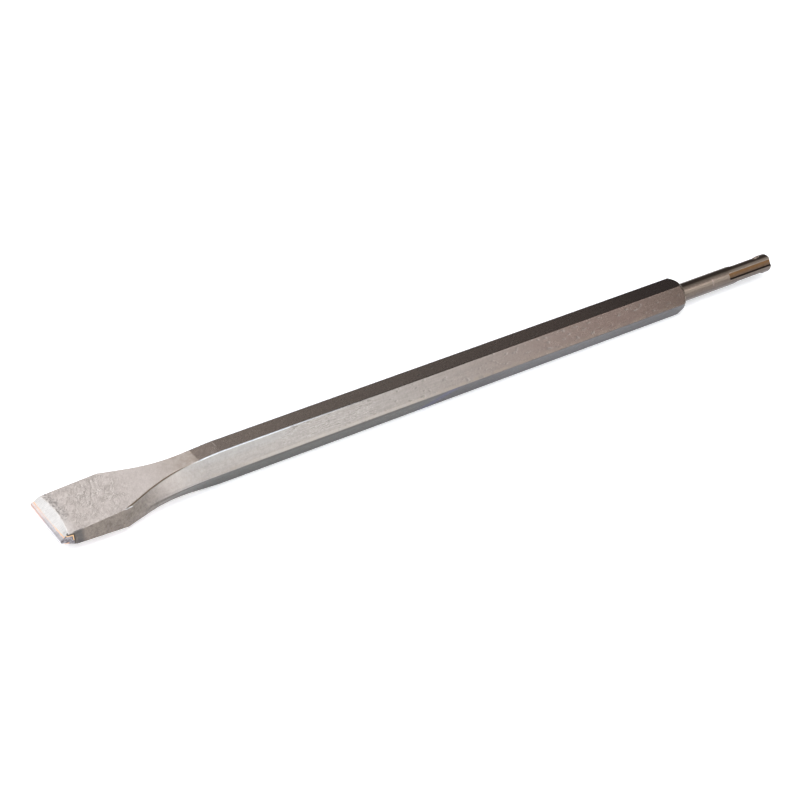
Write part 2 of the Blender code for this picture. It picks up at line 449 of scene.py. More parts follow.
    def finish_fields(self, x: np.ndarray, z: np.ndarray) -> dict[str, np.ndarray]:
        """The bar's upper edges, worn and painted light as a painted highlight, its two faces, the
        painted shade on the flanks of blade and neck, and its fold with painted shade along it.

        Args:
            x: Where the points are along X.
            z: How high they are above the axis.

        Returns:
            The fields, each from 0 to 1.
        """
        corner, face = (mask[None] for mask in self.column_masks())
        arc = np.zeros(COLUMNS)
        start = self.arc_columns + self.face_columns
        arc[start : start + self.arc_columns] = self.across_fold(self.fold_shade_width)
        # The upper corners, where the worn edges carry a painted highlight.
        upper = eased(z, *self.bright_heights) * corner
        bright = upper * (1 - self.behind_root(x, self.bright_fades))
        return {
            "bright": bright * self.behind_root(x, self.bright_begins),
            "face": np.broadcast_to(face, x.shape),
            "flank_shade": (1 - face) * (1 - self.behind_root(x + z, self.flank_shade_reach)),
            # Where the fold carries its painted shade.
            "fold": arc[None] * self.fold_depth(x) / self.fold,
        }

    def surface(self) -> Surface:
        """The rings with the bevels, the hand work, the worn corner and the coned shoulder.

        The bevels scale each ring's height down to the plane from the heel line to the edge. The
        nose is a quarter of an ellipse. The worn corner is planed off, and the cone holds every
        point within a radius that falls towards the shoulder.

        Returns:
            The rings of points and the fields of the finish.
        """
        places = self.places()
        outline = self.ring_outline(places)
        x = np.repeat(places[:, None], outline.shape[1], axis=1)
        y, z = outline[..., 0].copy(), outline[..., 1].copy()
        heel = self.heel_line(y)
        blade = self.half_thickness(x)
        land = self.edge_land / 2
        bevel = land + (self.half_thickness(heel) - land) * (x - EDGE_X) / (heel - EDGE_X)
        z *= np.where(x < heel, bevel / blade, 1.0)
        nose = np.clip((EDGE_X + self.nose_depth - x) / self.nose_depth, 0.0, self.nose_bluntness)
        z *= np.sqrt(1 - nose * nose)
        forged = 1 - eased(x, self.neck_end_x - self.forged_fade, self.neck_end_x)
        dents = 0.5 + 0.5 * waves(11, self.dent_spans, x, y, z)
        scale = waves(17, self.scale_spans, x, y, z)
        z *= 1 - self.dent_shares[0] * forged * dents
        y *= 1 - self.dent_shares[1] * forged * dents
        pressed = np.where(x > heel, 1 + scale, 0.0)
        z *= 1 - self.scale_relief * forged * pressed / self.root_thickness * 2
        x, y, z = self.worn_corner(x, y, z)
        radius = np.hypot(y, z)
        most = self.shoulder_radius + (SHOULDER_X - x) * math.tan(self.cone_angle)
        shrink = np.minimum(1.0, most / np.maximum(radius, MM))
        cone = eased(radius - most, -self.cone_blend, self.cone_blend)
        y *= shrink
        z *= shrink
        fields = {"heel": (heel - x) / MM, "turned": cone, **self.finish_fields(x, z)}
        return Surface(np.stack([x, y, z + AXIS_HEIGHT], axis=2), fields)


@dataclass(frozen=True)
class SlottedShank:
    """The turned shank with two open drive slots and two closed lock pockets."""

    end_x: float = -EDGE_X
    radius: float = 5.0 * MM
    fillet: float = 1.5 * MM
    end_rounding: float = 1.6 * MM
    slot_length: float = 31.0 * MM
    slot_floor: float = 3.3 * MM
    slot_mouth: float = 4.2 * MM
    slot_depth: float = 1.8 * MM
    slot_rounding: float = 0.8 * MM
    slot_angle: float = math.radians(30.0)
    least_wall: float = 0.1 * MM
    ring_gap: float = 0.01 * MM
    mask_depth: float = 0.02 * MM
    pocket_start: float = 4.5 * MM
    pocket_length: float = 22.5 * MM
    pocket_radius: float = 3.6 * MM
    pocket_depth: float = 2.2 * MM
    fillet_rings: int = 9
    end_rings: int = 10
    wall_columns: int = 5
    floor_columns: int = 12
    arc_columns: int = 78

    @property
    def slot_x(self) -> float:
        """Where the drive slots begin."""
        return self.end_x - self.slot_length

    def pocket_middle(self) -> float:
        """Height of the ball's middle above the axis."""
        return self.radius - self.pocket_depth + self.pocket_radius

    def pocket_ends(self) -> Pair:
        """Where the ball's middle starts and stops.

        Returns:
            The two places along X.
        """
        overhang = self.pocket_middle() - self.radius
        reach = math.sqrt(self.pocket_radius**2 - overhang**2)
        last = self.end_x - self.pocket_start
        return last - self.pocket_length + reach, last - reach

    def places(self) -> np.ndarray:
        """Where the rings stand, closest where slots, pockets and roundings begin.

        Returns:
            The places along X.
        """
        first, last = self.pocket_ends()
        quarter = math.pi / 2
        fillet = SHOULDER_X + self.fillet * (1 - np.cos(np.linspace(0.0, quarter, self.fillet_rings)))
        rounding_x = self.end_x - self.end_rounding
        plain = runs((fillet[-1], 2.4 * MM), (self.slot_x - self.ring_gap, 0.0))
        worked = runs(
            (self.slot_x + self.ring_gap, 0.1 * MM),
            (self.slot_x + self.slot_rounding, 0.4 * MM),
            (first - self.pocket_radius, 0.2 * MM),
            (first, 1.4 * MM),
            (last, 0.2 * MM),
            (last + self.pocket_radius, 0.4 * MM),
            (rounding_x, 0.0),
        )
        rounding = rounding_x + self.end_rounding * np.sin(np.linspace(0.0, quarter, self.end_rings))
        return np.concatenate([fillet[:-1], plain, worked, rounding[1:]])

    def outer_radius(self, x: np.ndarray) -> np.ndarray:
        """The turned radius: a concave quarter circle, the plain shank and a rounded end.

        Args:
            x: Where the radius is wanted.

        Returns:
            The radius at each place.
        """
        fillet = np.clip(1 - (x - SHOULDER_X) / self.fillet, 0.0, 1.0)
        flare = self.fillet * (1 - np.sqrt(1 - fillet * fillet))
        ending = np.clip(1 - (self.end_x - x) / self.end_rounding, 0.0, 1.0)
        drop = self.end_rounding * (1 - np.sqrt(1 - ending * ending))
        return self.radius + flare - drop

    def slot_section(self, x: np.ndarray) -> tuple[np.ndarray, np.ndarray]:
        """One drive slot in its own section: mouth, straight wall, flat floor, wall, mouth.

        Args:
            x: Where the rings stand.

        Returns:
            How far across the slot and how far out from the axis each point is, over (ring, column).
        """
        outer = self.outer_radius(x)
        floor = self.radius - self.slot_depth
        slope = (self.slot_mouth - self.slot_floor) / 2 / self.slot_depth
        into = np.clip(1 - (x - self.slot_x) / self.slot_rounding, 0.0, 1.0)
        narrowing = self.slot_rounding * (1 - np.sqrt(1 - into * into))
        half = self.slot_floor / 2 - narrowing
        half = np.minimum(half, np.sqrt(outer**2 - (floor + self.least_wall) ** 2))
        base = half - slope * floor
        square = 1 + slope * slope
        root = np.sqrt(np.maximum(outer**2 * square - base * base, 0.0))
        mouth_up = np.maximum((root - slope * base) / square, floor)
        chord = np.sqrt(np.maximum(outer**2 - mouth_up**2, 0.0))
        mouth = np.minimum(half + slope * (mouth_up - floor), chord)
        wall = np.linspace(0.0, 1.0, self.wall_columns)[None]
        cross_wall = mouth[:, None] + (half - mouth)[:, None] * wall
        up_wall = mouth_up[:, None] + (floor - mouth_up)[:, None] * wall
        level = np.linspace(1.0, -1.0, self.floor_columns + 2)[None, 1:-1]
        cross = np.concatenate([cross_wall, half[:, None] * level, -cross_wall[:, ::-1]], axis=1)
        up_floor = np.full((len(x), self.floor_columns), floor)
        up = np.concatenate([up_wall, up_floor, up_wall[:, ::-1]], axis=1)
        return cross, up

    def ring_outline(self, x: np.ndarray) -> tuple[np.ndarray, ...]:
        """The section at each ring as angles and radii, with the slots and the pockets.

        A pocket's radius is where a ray from the axis first meets the ball's circle:
        c cos a - sqrt(b^2 - c^2 sin^2 a), for a ball of radius b whose middle is at distance c.

        Args:
            x: Where the rings stand.

        Returns:
            Angle above the near side, radius, a mask of the slots, and how far across a slot a point
            is, from -1 at its lower wall to 1 at its upper one, over (ring, column).
        """
        outer = self.outer_radius(x)[:, None]
        mouth_angle = math.asin(self.slot_mouth / 2 / self.radius)
        cross, up = self.slot_section(x)
        slot_columns = cross.shape[1]
        inside = (x >= self.slot_x)[:, None]
        plain = np.linspace(mouth_angle, -mouth_angle, slot_columns)[None]
        slot_angle = np.where(inside, np.arctan2(cross, up), plain)
        slot_radius = np.where(inside, np.hypot(cross, up), outer)
        edge = np.where(inside, np.arctan2(cross[:, :1], up[:, :1]), mouth_angle)
        quarter = self.arc_columns // 2
        gap = math.pi - 2 * edge
        step = np.arange(1, self.arc_columns + 1)[None] / (self.arc_columns + 1)
        arc_after = -edge - gap * step
        first = self.slot_angle + slot_angle
        second = self.slot_angle - math.pi + slot_angle
        between = self.slot_angle + arc_after
        behind = self.slot_angle - math.pi + arc_after
        angles = [behind[:, quarter:] + math.tau, first, between, second, behind[:, :quarter]]
        angles = np.concatenate(angles, axis=1)
        arc = np.repeat(outer, self.arc_columns, axis=1)
        radii = [arc[:, quarter:], slot_radius, arc, slot_radius, arc[:, :quarter]]
        radii = np.concatenate(radii, axis=1)
        mask = np.zeros(angles.shape)
        level = np.zeros(angles.shape)
        for start in (quarter, quarter + slot_columns + self.arc_columns):
            columns = slice(start, start + slot_columns)
            mask[:, columns] = inside * (slot_radius < outer - self.mask_depth)
            level[:, columns] = cross / (self.slot_floor / 2)
        begins, ends = self.pocket_ends()
        off_middle = np.maximum(begins - x, 0.0) + np.maximum(x - ends, 0.0)
        ball = np.sqrt(np.maximum(self.pocket_radius**2 - off_middle**2, 0.0))[:, None]
        middle = self.pocket_middle()
        for turn in (math.pi / 2, -math.pi / 2):
            away = angles - self.slot_angle - turn
            reach = ball**2 - (middle * np.sin(away)) ** 2
            met = middle * np.cos(away) - np.sqrt(np.maximum(reach, 0.0))
            radii = np.where((reach > 0) & (np.cos(away) > 0), np.minimum(radii, met), radii)
        return angles, radii, mask, level

    def surface(self) -> Surface:
        """The rings of the shank, from the fillet at the shoulder to the end face's rim.

        Returns:
            The rings of points and the fields of the finish.
        """
        places = self.places()
        angles, radii, mask, level = self.ring_outline(places)
        x = np.repeat(places[:, None], angles.shape[1], axis=1)
        points = np.stack([x, -radii * np.cos(angles), AXIS_HEIGHT + radii * np.sin(angles)], axis=2)
        fields = {"heel": (EDGE_X - x) / MM, "turned": np.ones_like(x)}
        return Surface(points, {**fields, "slot": mask, "slot_across": level})


# Shader maths


class Value:
    """A shader socket that can be added to, subtracted from, multiplied and made positive."""

    def __init__(self, maker: "NodeMaker", socket: bpy.types.NodeSocket) -> None:
        """Keeps the socket and the maker of its tree."""
        self.maker = maker
        self.socket = socket

    def maths(self, operation: str, first: "Value | float", second: "Value | float") -> "Value":
        """The result of a Math node on two values."""
        return self.maker.node("ShaderNodeMath", {"operation": operation}, {0: first, 1: second})

    def __add__(self, other: "Value | float") -> "Value":
        """The sum."""
        return self.maths("ADD", self, other)

    def __radd__(self, other: "Value | float") -> "Value":
        """The sum, with a number first."""
        return self.maths("ADD", other, self)

    def __sub__(self, other: "Value | float") -> "Value":
        """The difference."""
        return self.maths("SUBTRACT", self, other)

    def __rsub__(self, other: "Value | float") -> "Value":
        """The difference, with a number first."""
        return self.maths("SUBTRACT", other, self)

    def __mul__(self, other: "Value | float") -> "Value":
        """The product."""
        return self.maths("MULTIPLY", self, other)

    def __rmul__(self, other: "Value | float") -> "Value":
        """The product, with a number first."""
        return self.maths("MULTIPLY", other, self)

    def __abs__(self) -> "Value":
        """The distance from zero."""
        return self.maths("ABSOLUTE", self, 0.0)

    def part(self, axis: str) -> "Value":
        """One coordinate of a vector."""
        return self.maker.node("ShaderNodeSeparateXYZ", {}, {0: self}, axis)

    def ramp(self, low: float, high: float) -> "Value":
        """A smooth mask that is 0 at low and 1 at high. Low may be the greater."""
        inputs = {0: self, 1: low, 2: high, 3: 0.0, 4: 1.0}
        return self.maker.node("ShaderNodeMapRange", {"interpolation_type": "SMOOTHSTEP"}, inputs)

    def near(self, middle: float, core: float, reach: float) -> "Value":
        """A smooth mask that is 1 within core of the middle and 0 beyond reach."""
        return abs(self - middle).ramp(reach, core)

    def band(self, low: float, high: float, end: float, gone: float) -> "Value":
        """A smooth mask that rises from low to high and falls again from end to gone."""
        return self.ramp(low, high) * self.ramp(gone, end)


class NodeMaker:
    """Makes the nodes of one tree."""

    def __init__(self, tree: bpy.types.NodeTree) -> None:
        """Keeps the tree."""
        self.tree = tree

    def node(
        self,
        kind: str,
        settings: dict[str, object],
        inputs: dict[int | str, object],
        output: int | str = 0,
    ) -> Value:
        """Makes a node, sets it, fills its inputs and returns one of its outputs.

        Args:
            kind: The node's type.
            settings: Its properties, set before the inputs.
            inputs: A number, colour or Value for each named or numbered input.
            output: The output that is wanted.

        Returns:
            The output.
        """
        made = self.tree.nodes.new(kind)
        for name, setting in settings.items():
            setattr(made, name, setting)
        for key, given in inputs.items():
            if isinstance(given, Value):
                self.tree.links.new(given.socket, made.inputs[key])
            else:
                made.inputs[key].default_value = given
        return Value(self, made.outputs[output])

    def field(self, name: str) -> Value:
        """A field that the surface carries at its points."""
        return self.node("ShaderNodeAttribute", {"attribute_name": name}, {}, "Fac")

    def stretched(self, place: Value, scale: tuple[float, float, float]) -> Value:
        """The place with each of its coordinates multiplied."""
        return self.node("ShaderNodeVectorMath", {"operation": "MULTIPLY"}, {0: place, 1: scale})

    def noise(
        self,
        place: Value,
        scale: float,
        detail: float = 3.0,
        rough: float = 0.5,
        bend: float = 0.0,
    ) -> Value:
        """Cloudy noise about 0.5.

        Args:
            place: Where it is read, in millimetres.
            scale: Features in each millimetre.
            detail: How many finer layers it has.
            rough: How strong they are.
            bend: How much the clouds are pulled into curls.

        Returns:
            The noise.
        """
        inputs = {"Vector": place, "Scale": scale, "Detail": detail}
        inputs |= {"Roughness": rough, "Distortion": bend}
        return self.node("ShaderNodeTexNoise", {}, inputs, "Fac")

    def blend(self, share: Value | float, first: Value | Colour, second: Value | Colour) -> Value:
        """A mix of two colours, each a Value or three numbers."""
        first, second = (end if isinstance(end, Value) else (*end, 1.0) for end in (first, second))
        return self.node("ShaderNodeMix", {"data_type": "RGBA"}, {0: share, 6: first, 7: second}, 2)

    def join(self, given: Value, shader: bpy.types.Node, name: str) -> None:
        """Links a value to one of the shader's sockets."""
        self.tree.links.new(given.socket, shader.inputs[name])


# Finishes


@dataclass(frozen=True)
class Finish:
    """Two tones of a surface, and how rough and how metallic it is."""

    light: Colour
    dark: Colour
    roughness: float
    spread: float
    metallic: float


class Surfacing(Enum):
    """The finishes on the chisel, in the order in which they cover each other."""

    ROLLED_OXIDE = Finish((0.176, 0.142, 0.121), (0.125, 0.100, 0.085), 0.28, 0.08, 0.95)
    BROWN_OXIDE = Finish((0.225, 0.170, 0.150), (0.158, 0.115, 0.100), 0.28, 0.08, 0.95)
    # Oxide of the lower faces, painted darker and bluer as painted shade and a painted reflection of the
    # pale floor; a little lighter and more violet towards the shank.
    SHADED_UNDERSIDE = Finish((0.090, 0.090, 0.085), (0.061, 0.062, 0.058), 0.34, 0.08, 0.95)
    SHADED_UNDERSIDE_TOWARDS_SHANK = Finish((0.107, 0.103, 0.109), (0.074, 0.072, 0.077), 0.34, 0.08, 0.95)
    # Painted light: the upper side faces painted lighter towards the blade.
    LIGHTER_UPPER_SIDES = Finish((0.385, 0.360, 0.342), (0.275, 0.256, 0.243), 0.36, 0.10, 0.95)
    BLASTED = Finish((0.640, 0.580, 0.555), (0.455, 0.408, 0.386), 0.52, 0.10, 0.92)
    # Painted shade: the flanks of blade and neck painted darker, fading as the neck's side turns upward.
    SHADED_FLANK = Finish((0.262, 0.224, 0.195), (0.126, 0.109, 0.095), 0.50, 0.10, 0.92)
    GROUND = Finish((0.745, 0.730, 0.725), (0.620, 0.605, 0.600), 0.30, 0.06, 1.0)
    NOSE = Finish((0.660, 0.630, 0.655), (0.400, 0.375, 0.405), 0.34, 0.10, 1.0)
    CHIPPED = Finish((0.330, 0.310, 0.330), (0.130, 0.120, 0.130), 0.45, 0.10, 0.95)
    # Worn upper edges of the bar, painted a bright bluish white as a painted highlight.
    WORN_EDGE_HIGHLIGHT = Finish((0.760, 0.785, 0.830), (0.620, 0.640, 0.680), 0.46, 0.08, 0.95)
    TURNED = Finish((0.260, 0.210, 0.180), (0.165, 0.130, 0.110), 0.29, 0.03, 0.97)
    # The cone at the shoulder, painted darker as painted shade that dulls a lamp's highlight on it.
    CONED = Finish((0.119, 0.085, 0.052), (0.076, 0.054, 0.032), 0.50, 0.05, 0.90)
    SLOT_FLOOR = Finish((0.290, 0.141, 0.048), (0.184, 0.088, 0.029), 0.40, 0.08, 0.90)


@dataclass(frozen=True)
class Layer:
    """A finish, where it lies, and its own pattern of light and dark, from 0 to 1."""

    surfacing: Surfacing
    where: Value | float
    tone: Value


@dataclass(frozen=True)
class Mark:
    """A colour over a part of the surface, whatever finish is under it."""

    where: Value
    colour: Colour


class SteelSkin:
    """The chisel's material: each finish in its own place, with grain, pits and marks, and with painted
    light and shade in some places.

    Places are in millimetres: x along the chisel from its middle, with the edge at the negative end,
    y across it, with the near side negative, and z up from its axis.
    """

    edge: float = EDGE_X / MM
    shoulder: float = SHOULDER_X / MM
    axis: float = AXIS_HEIGHT / MM
    blasting_ends: float = -140.4
    blade_reach: Pair = (-206.0, -172.0)
    crease_angle: float = math.radians(60.0)
    copper_line: float = 1.67
    chip_size: Pair = (6.0, 3.0)
    soot_place: float = -205.2
    spot_place: float = -210.8
    streak_foot: float = -19.0
    scratch_places: Pair = (-131.5, -128.9)
    ring_place: float = 171.1
    # Dark of the scratches and pits; on the dents it is painted shade.
    pit_floor: Colour = (0.15, 0.135, 0.125)

    def __init__(self) -> None:
        """Makes the material, and the patterns and places that the finishes share."""
        self.material = bpy.data.materials.new("forged_chisel_steel")
        self.material.use_nodes = True
        self.make = NodeMaker(self.material.node_tree)
        make = self.make
        at = make.node("ShaderNodeTexCoord", {}, {}, "Object")
        self.place = make.stretched(at, (1 / MM, 1 / MM, 1 / MM))
        self.x = self.place.part("X")
        self.y = self.place.part("Y")
        self.z = self.place.part("Z") - self.axis
        self.fine = make.noise(self.place, 1.1, 4.0, 0.65)
        self.cloud = make.noise(self.place, 0.33, 4.0, 0.6)
        self.streak = make.noise(make.stretched(self.place, (0.07, 1.0, 1.0)), 1.2, 4.0, 0.6)
        turn = (0.0, 0.0, self.crease_angle)
        inputs = {"Vector": self.place, "Rotation": turn, "Scale": (2.0, 1.0, 1.0)}
        drawn = make.node("ShaderNodeMapping", {"vector_type": "TEXTURE"}, inputs)
        self.scale = make.noise(drawn, 0.9, 4.0, 0.65, 0.6)
        self.curls = make.noise(drawn, 0.5, 3.0, 0.5, 1.6)
        self.heel = make.field("heel")
        self.turned = make.field("turned")
        self.slot = make.field("slot").ramp(0.4, 0.6)
        self.face = make.field("face").ramp(0.3, 0.7)
        self.top = self.face * self.z.ramp(0.0, 0.3)
        self.slanted = self.z.ramp(0.0, 0.3) - self.top
        self.near_side = self.y.ramp(-15.6, -16.0)
        self.rough_forging = 0.6 + 0.4 * self.x.ramp(-170.0, -186.0)
        self.chip = self.chipped()

    def creases(self, shift: float) -> Value:
        """Curly creases of the forging on the blade, strongest behind its middle.

        Args:
            shift: How far they lie to one side. A light line beside each dark one is a painted highlight
                on its lip, and the dark line is painted shade in the crease.

        Returns:
            A mask of the lines.
        """
        x, y = self.x, self.y
        first, last = self.blade_reach
        lines = self.curls.near(0.5 + 0.1 * shift, 0.02, 0.12)
        lines = lines * x.band(first - 3, first + 3, last - 8, last + 4)
        heart = x.near(-188.0, 4.0, 13.0) * y.near(5.0, 6.0, 14.0)
        strength = 0.6 * self.cloud.ramp(0.40, 0.56) + 0.3 * heart
        bent = x - 0.43 * y + (self.cloud - 0.5) * 3.0
        long = bent.near(0.9 * shift - 191.4, 0.2, 0.6) * y.band(-2.0, 0.0, 12.4, 13.6)
        return self.face * (lines * strength + long * 0.45)

    def dents(self, shift: float) -> Value:
        """Small drawn-out dents along the bar.

        Args:
            shift: How far they lie towards the shank. A light one behind each dark one is a painted
                highlight on its lit wall, and the dark one is painted shade in the dent.

        Returns:
            A mask of the dents.
        """
        moved = {0: self.place, 1: (-shift, 0.0, 0.0)}
        place = self.make.node("ShaderNodeVectorMath", {"operation": "ADD"}, moved)
        spots = self.make.noise(self.make.stretched(place, (0.6, 1.0, 1.0)), 0.52, 2.0)
        return spots.ramp(0.62, 0.69) * self.x.band(-90.0, -50.0, 140.0, 146.0)

    def dashes(self, level: float) -> Value:
        """Short drawn-out scratches on the side of the bar, where the long clouds pass a level."""
        scratched = self.x.near(-72.0, 18.0, 34.0) * self.z.ramp(1.0, 3.0)
        return self.streak.near(level, 0.015, 0.04) * self.fine.ramp(0.38, 0.5) * scratched

    def pits(self) -> Value:
        """The bar's dents, whose dark side is painted shade, and a row of pits behind the bevel."""
        row = self.heel.band(-5.4, -2.0, -0.6, -0.2) * self.y.ramp(-10.0, -3.0)
        return self.dents(0.0) + self.face * row * self.fine.ramp(0.46, 0.58) * 1.3

    def chipped(self) -> Value:
        """The chipped patch at the near end of the edge.

        Returns:
            How far inside the patch a point is, in millimetres.
        """
        ragged = (self.cloud - 0.5) * 0.6
        length = self.edge + self.chip_size[0] - self.x
        height = self.chip_size[1] - 0.13 * (self.x - self.edge) - self.z
        return length.maths("MINIMUM", length + ragged, height + ragged)

    def layers(self) -> tuple[Layer, ...]:
        """Each finish with its place and its pattern.

        Returns:
            The layers, the lowest first. That one lies everywhere.
        """
        x, z = self.x, self.z
        make = self.make
        speckle = self.fine.ramp(0.3, 0.7)
        clouds = self.cloud.ramp(0.28, 0.72)
        scale = self.scale.ramp(0.3, 0.7)
        long = self.streak.ramp(0.3, 0.7)
        broad = make.noise(self.place, 0.06, 2.0).ramp(0.3, 0.7)
        grinding = make.noise(make.stretched(self.place, (0.3, 3.0, 0.3)), 1.4, 2.0).ramp(0.3, 0.6)
        turning = make.noise(make.stretched(self.place, (3.0, 0.05, 0.05)), 0.9, 3.0).ramp(0.3, 0.7)
        rolled = long * 0.25 + clouds * 0.25 + speckle * 0.25 + scale * 0.25
        mottled = speckle * 0.3 + scale * 0.5 + broad * 0.2
        blasted = 0.5 + (mottled - 0.5) * self.rough_forging
        lathe = turning * 0.5 + clouds * 0.5
        wander = self.cloud - 0.5
        flat, side = self.face, 1.0 - self.face
        low = z.ramp(0.15, -0.15) * 0.9
        # Painted light on the upper side faces, fading from the blade towards the shank.
        lighter_upper_sides = (x + wander * 40.0).ramp(105.0, -105.0) * side * z.ramp(-0.3, 0.0)
        line = (x + wander * 1.6).ramp(self.blasting_ends + 0.3, self.blasting_ends - 0.3)
        fading = (x + (self.streak - 0.5) * 30.0).ramp(-138.0, -162.0)
        blasting = flat * line + side * fading * z.ramp(-1.0, 1.0) * 0.5
        heel = self.heel + (self.fine - 0.5) * 1.3
        ground = flat * (0.75 * heel.ramp(-0.45, 0.3) + 0.25 * heel.ramp(-5.0, 0.0))
        nose = (x + wander * 0.5).ramp(self.edge + 1.65, self.edge + 1.35)
        turned = self.turned.ramp(0.3, 0.7)
        # The cone at the shoulder, painted darker as painted shade.
        cone = turned * x.ramp(self.shoulder + 0.3, self.shoulder)
        chip = self.chip.ramp(0.0, 0.12) * self.near_side
        return (
            Layer(Surfacing.ROLLED_OXIDE, 1.0, rolled),
            Layer(Surfacing.BROWN_OXIDE, x.ramp(-60.0, 110.0), rolled),
            # Painted shade and painted floor reflection over the lower faces' oxide.
            Layer(Surfacing.SHADED_UNDERSIDE, low, rolled),
            Layer(Surfacing.SHADED_UNDERSIDE_TOWARDS_SHANK, low * x.ramp(-40.0, 10.0), rolled),
            Layer(Surfacing.LIGHTER_UPPER_SIDES, lighter_upper_sides, long * 0.3 + clouds * 0.25 + scale * 0.45),
            Layer(Surfacing.BLASTED, blasting, blasted),
            # Painted shade on the flanks of blade and neck.
            Layer(Surfacing.SHADED_FLANK, make.field("flank_shade"), speckle * 0.5 + clouds * 0.5),
            Layer(Surfacing.GROUND, ground, grinding * 0.8 + speckle * 0.2),
            Layer(Surfacing.NOSE, ground * nose, grinding * 0.5 + clouds * 0.5),
            Layer(Surfacing.CHIPPED, chip, self.fine.ramp(0.38, 0.62)),
            # Worn upper edges with a painted highlight.
            Layer(Surfacing.WORN_EDGE_HIGHLIGHT, make.field("bright"), clouds),
            Layer(Surfacing.TURNED, turned, lathe),
            Layer(Surfacing.CONED, cone, lathe),
            Layer(Surfacing.SLOT_FLOOR, self.slot, clouds * 0.6 + speckle * 0.4),
        )

    def forging_marks(self) -> tuple[Mark, ...]:
        """The creases of the blade and the scratches, dents and pits, with painted shade in the creases
        and dents, and painted highlights on their lit sides.

        Returns:
            The marks, the lowest first.
        """
        return (
            # Painted shade in the creases, then a painted highlight on their lips.
            Mark(self.creases(0.0) * 0.52, (0.33, 0.29, 0.26)),
            Mark(self.creases(1.0) * 0.45, (0.80, 0.75, 0.72)),
            # Painted glints beside the scratches.
            Mark(self.dashes(0.53) * self.slanted * 0.2, (0.70, 0.66, 0.63)),
            Mark(self.dashes(0.59) * self.slanted * 0.6, self.pit_floor),
            # Painted highlight on the dents' lit walls.
            Mark(self.dents(0.9) * self.slanted * 0.24, (0.46, 0.43, 0.40)),
            # The dents' dark side as painted shade, and the dark row of pits behind the bevel.
            Mark(self.pits() * 0.5, self.pit_floor),
        )

    def bar_marks(self) -> tuple[Mark, ...]:
        """Uneven oxide and wear along the bar, painted shade on its top and lower faces, a painted shade
        line and a painted highlight band along its lower edge, and its heat streak.

        Returns:
            The marks, the lowest first.
        """
        x, y, z = self.x, self.y, self.z
        top, slanted = self.top, self.slanted
        low = z.ramp(0.1, -0.3)
        foot = slanted * z.ramp(2.4, 0.3) * x.ramp(-150.0, -130.0)
        warm = top * x.band(-168.0, -142.0, -140.6, -139.6)
        worn = top * x.band(8.0, 45.0, 95.0, 140.0)
        # Painted shade: the top face darker just after the blasting and towards the shank, and the lower
        # faces darker about the middle and towards the shank.
        darker_after_blasting = 0.5 * x.band(-140.6, -139.6, -138.0, -110.0)
        dim = 0.8 * x.ramp(85.0, 125.0) + 0.85 * x.near(8.0, 8.0, 30.0)
        top_and_underside_shade = top * (x.ramp(60.0, 150.0) + darker_after_blasting) + low * dim
        bar = x.band(-130.0, -105.0, -50.0, 20.0)
        patch = x.near(self.scratch_places[0], 1.0, 3.0) * y.near(-2.5, 2.0, 4.0)
        scratch = x.near(self.scratch_places[1], 0.1, 0.4) * y.near(2.4, 2.0, 3.0)
        scuffed = top * (patch * (self.streak - self.cloud).near(0.0, 0.01, 0.04) + scratch)
        cool = slanted * z.ramp(4.2, 6.8) * x.band(-156.0, -146.0, -104.0, -84.0)
        streak = (x - 1.9 * (z + self.axis)).near(self.streak_foot, 1.0, 7.0)
        return (
            Mark(foot * self.cloud.ramp(0.3, 0.6) * 0.4, (0.29, 0.24, 0.195)),
            Mark(warm * (0.35 + 0.45 * self.cloud.ramp(0.35, 0.65)), (0.36, 0.30, 0.255)),
            Mark(worn * 0.1, (0.36, 0.29, 0.24)),
            # Painted shade on the top and lower faces.
            Mark(top_and_underside_shade * 0.45, (0.035, 0.028, 0.030)),
            Mark(slanted * x.ramp(105.0, 150.0) * 0.38, (0.10, 0.075, 0.055)),
            # Painted shade: a thin dark line just below the ridges.
            Mark(z.near(-0.9, 0.4, 1.3) * bar * 0.75, (0.040, 0.036, 0.028)),
            # Painted highlight: a light band low on the upper side faces, above the ridges.
            Mark(slanted * z.near(0.8, 0.2, 0.9) * bar * 0.17, (0.66, 0.61, 0.57)),
            Mark(scuffed * 0.3, (0.45, 0.40, 0.37)),
            Mark(cool * 0.12, (0.44, 0.49, 0.52)),
            Mark(streak * low * y.ramp(0.0, -1.0) * 0.75, (0.072, 0.072, 0.135)),
        )

    def blade_marks(self) -> tuple[Mark, ...]:
        """Heat colours and copper on the edge, its chipped corner with a painted shadow along it, painted
        shade along the neck's fold, and a painted highlight on the neck's nicked spot.

        Returns:
            The marks, the lowest first.
        """
        x, y, z = self.x, self.y, self.z
        ground = self.heel.ramp(0.0, 0.2) * y.ramp(-16.1, -15.7)
        from_edge = x - self.edge + (self.streak - 0.5) * 0.4
        pink = from_edge.ramp(1.7, 1.2) * y.ramp(-2.0, 9.0)
        lip = from_edge.ramp(0.5, 0.2) * y.ramp(-4.0, 8.0)
        copper = (from_edge + 0.011 * y).near(self.copper_line, 0.12, 0.36)
        copper = copper * (1.0 - 0.7 * y.near(1.0, 4.0, 11.0))
        copper = copper * (0.4 + 0.6 * self.cloud.ramp(0.35, 0.55))
        soot = x.near(self.soot_place, 1.0, 3.6) * self.near_side * self.fine.ramp(0.28, 0.52)
        # Painted shadow: a dark line along the chipped corner, under its raised lip.
        burr_shadow = self.chip.band(-0.8, -0.5, -0.1, 0.0) * y.ramp(-14.6, -15.4)
        cut = self.near_side * z.ramp(-0.9, 0.1) * from_edge.ramp(1.2, 2.0)
        spot = x.near(self.spot_place, 0.5, 1.2) * z.band(-2.6, -1.6, -1.0, -0.4)
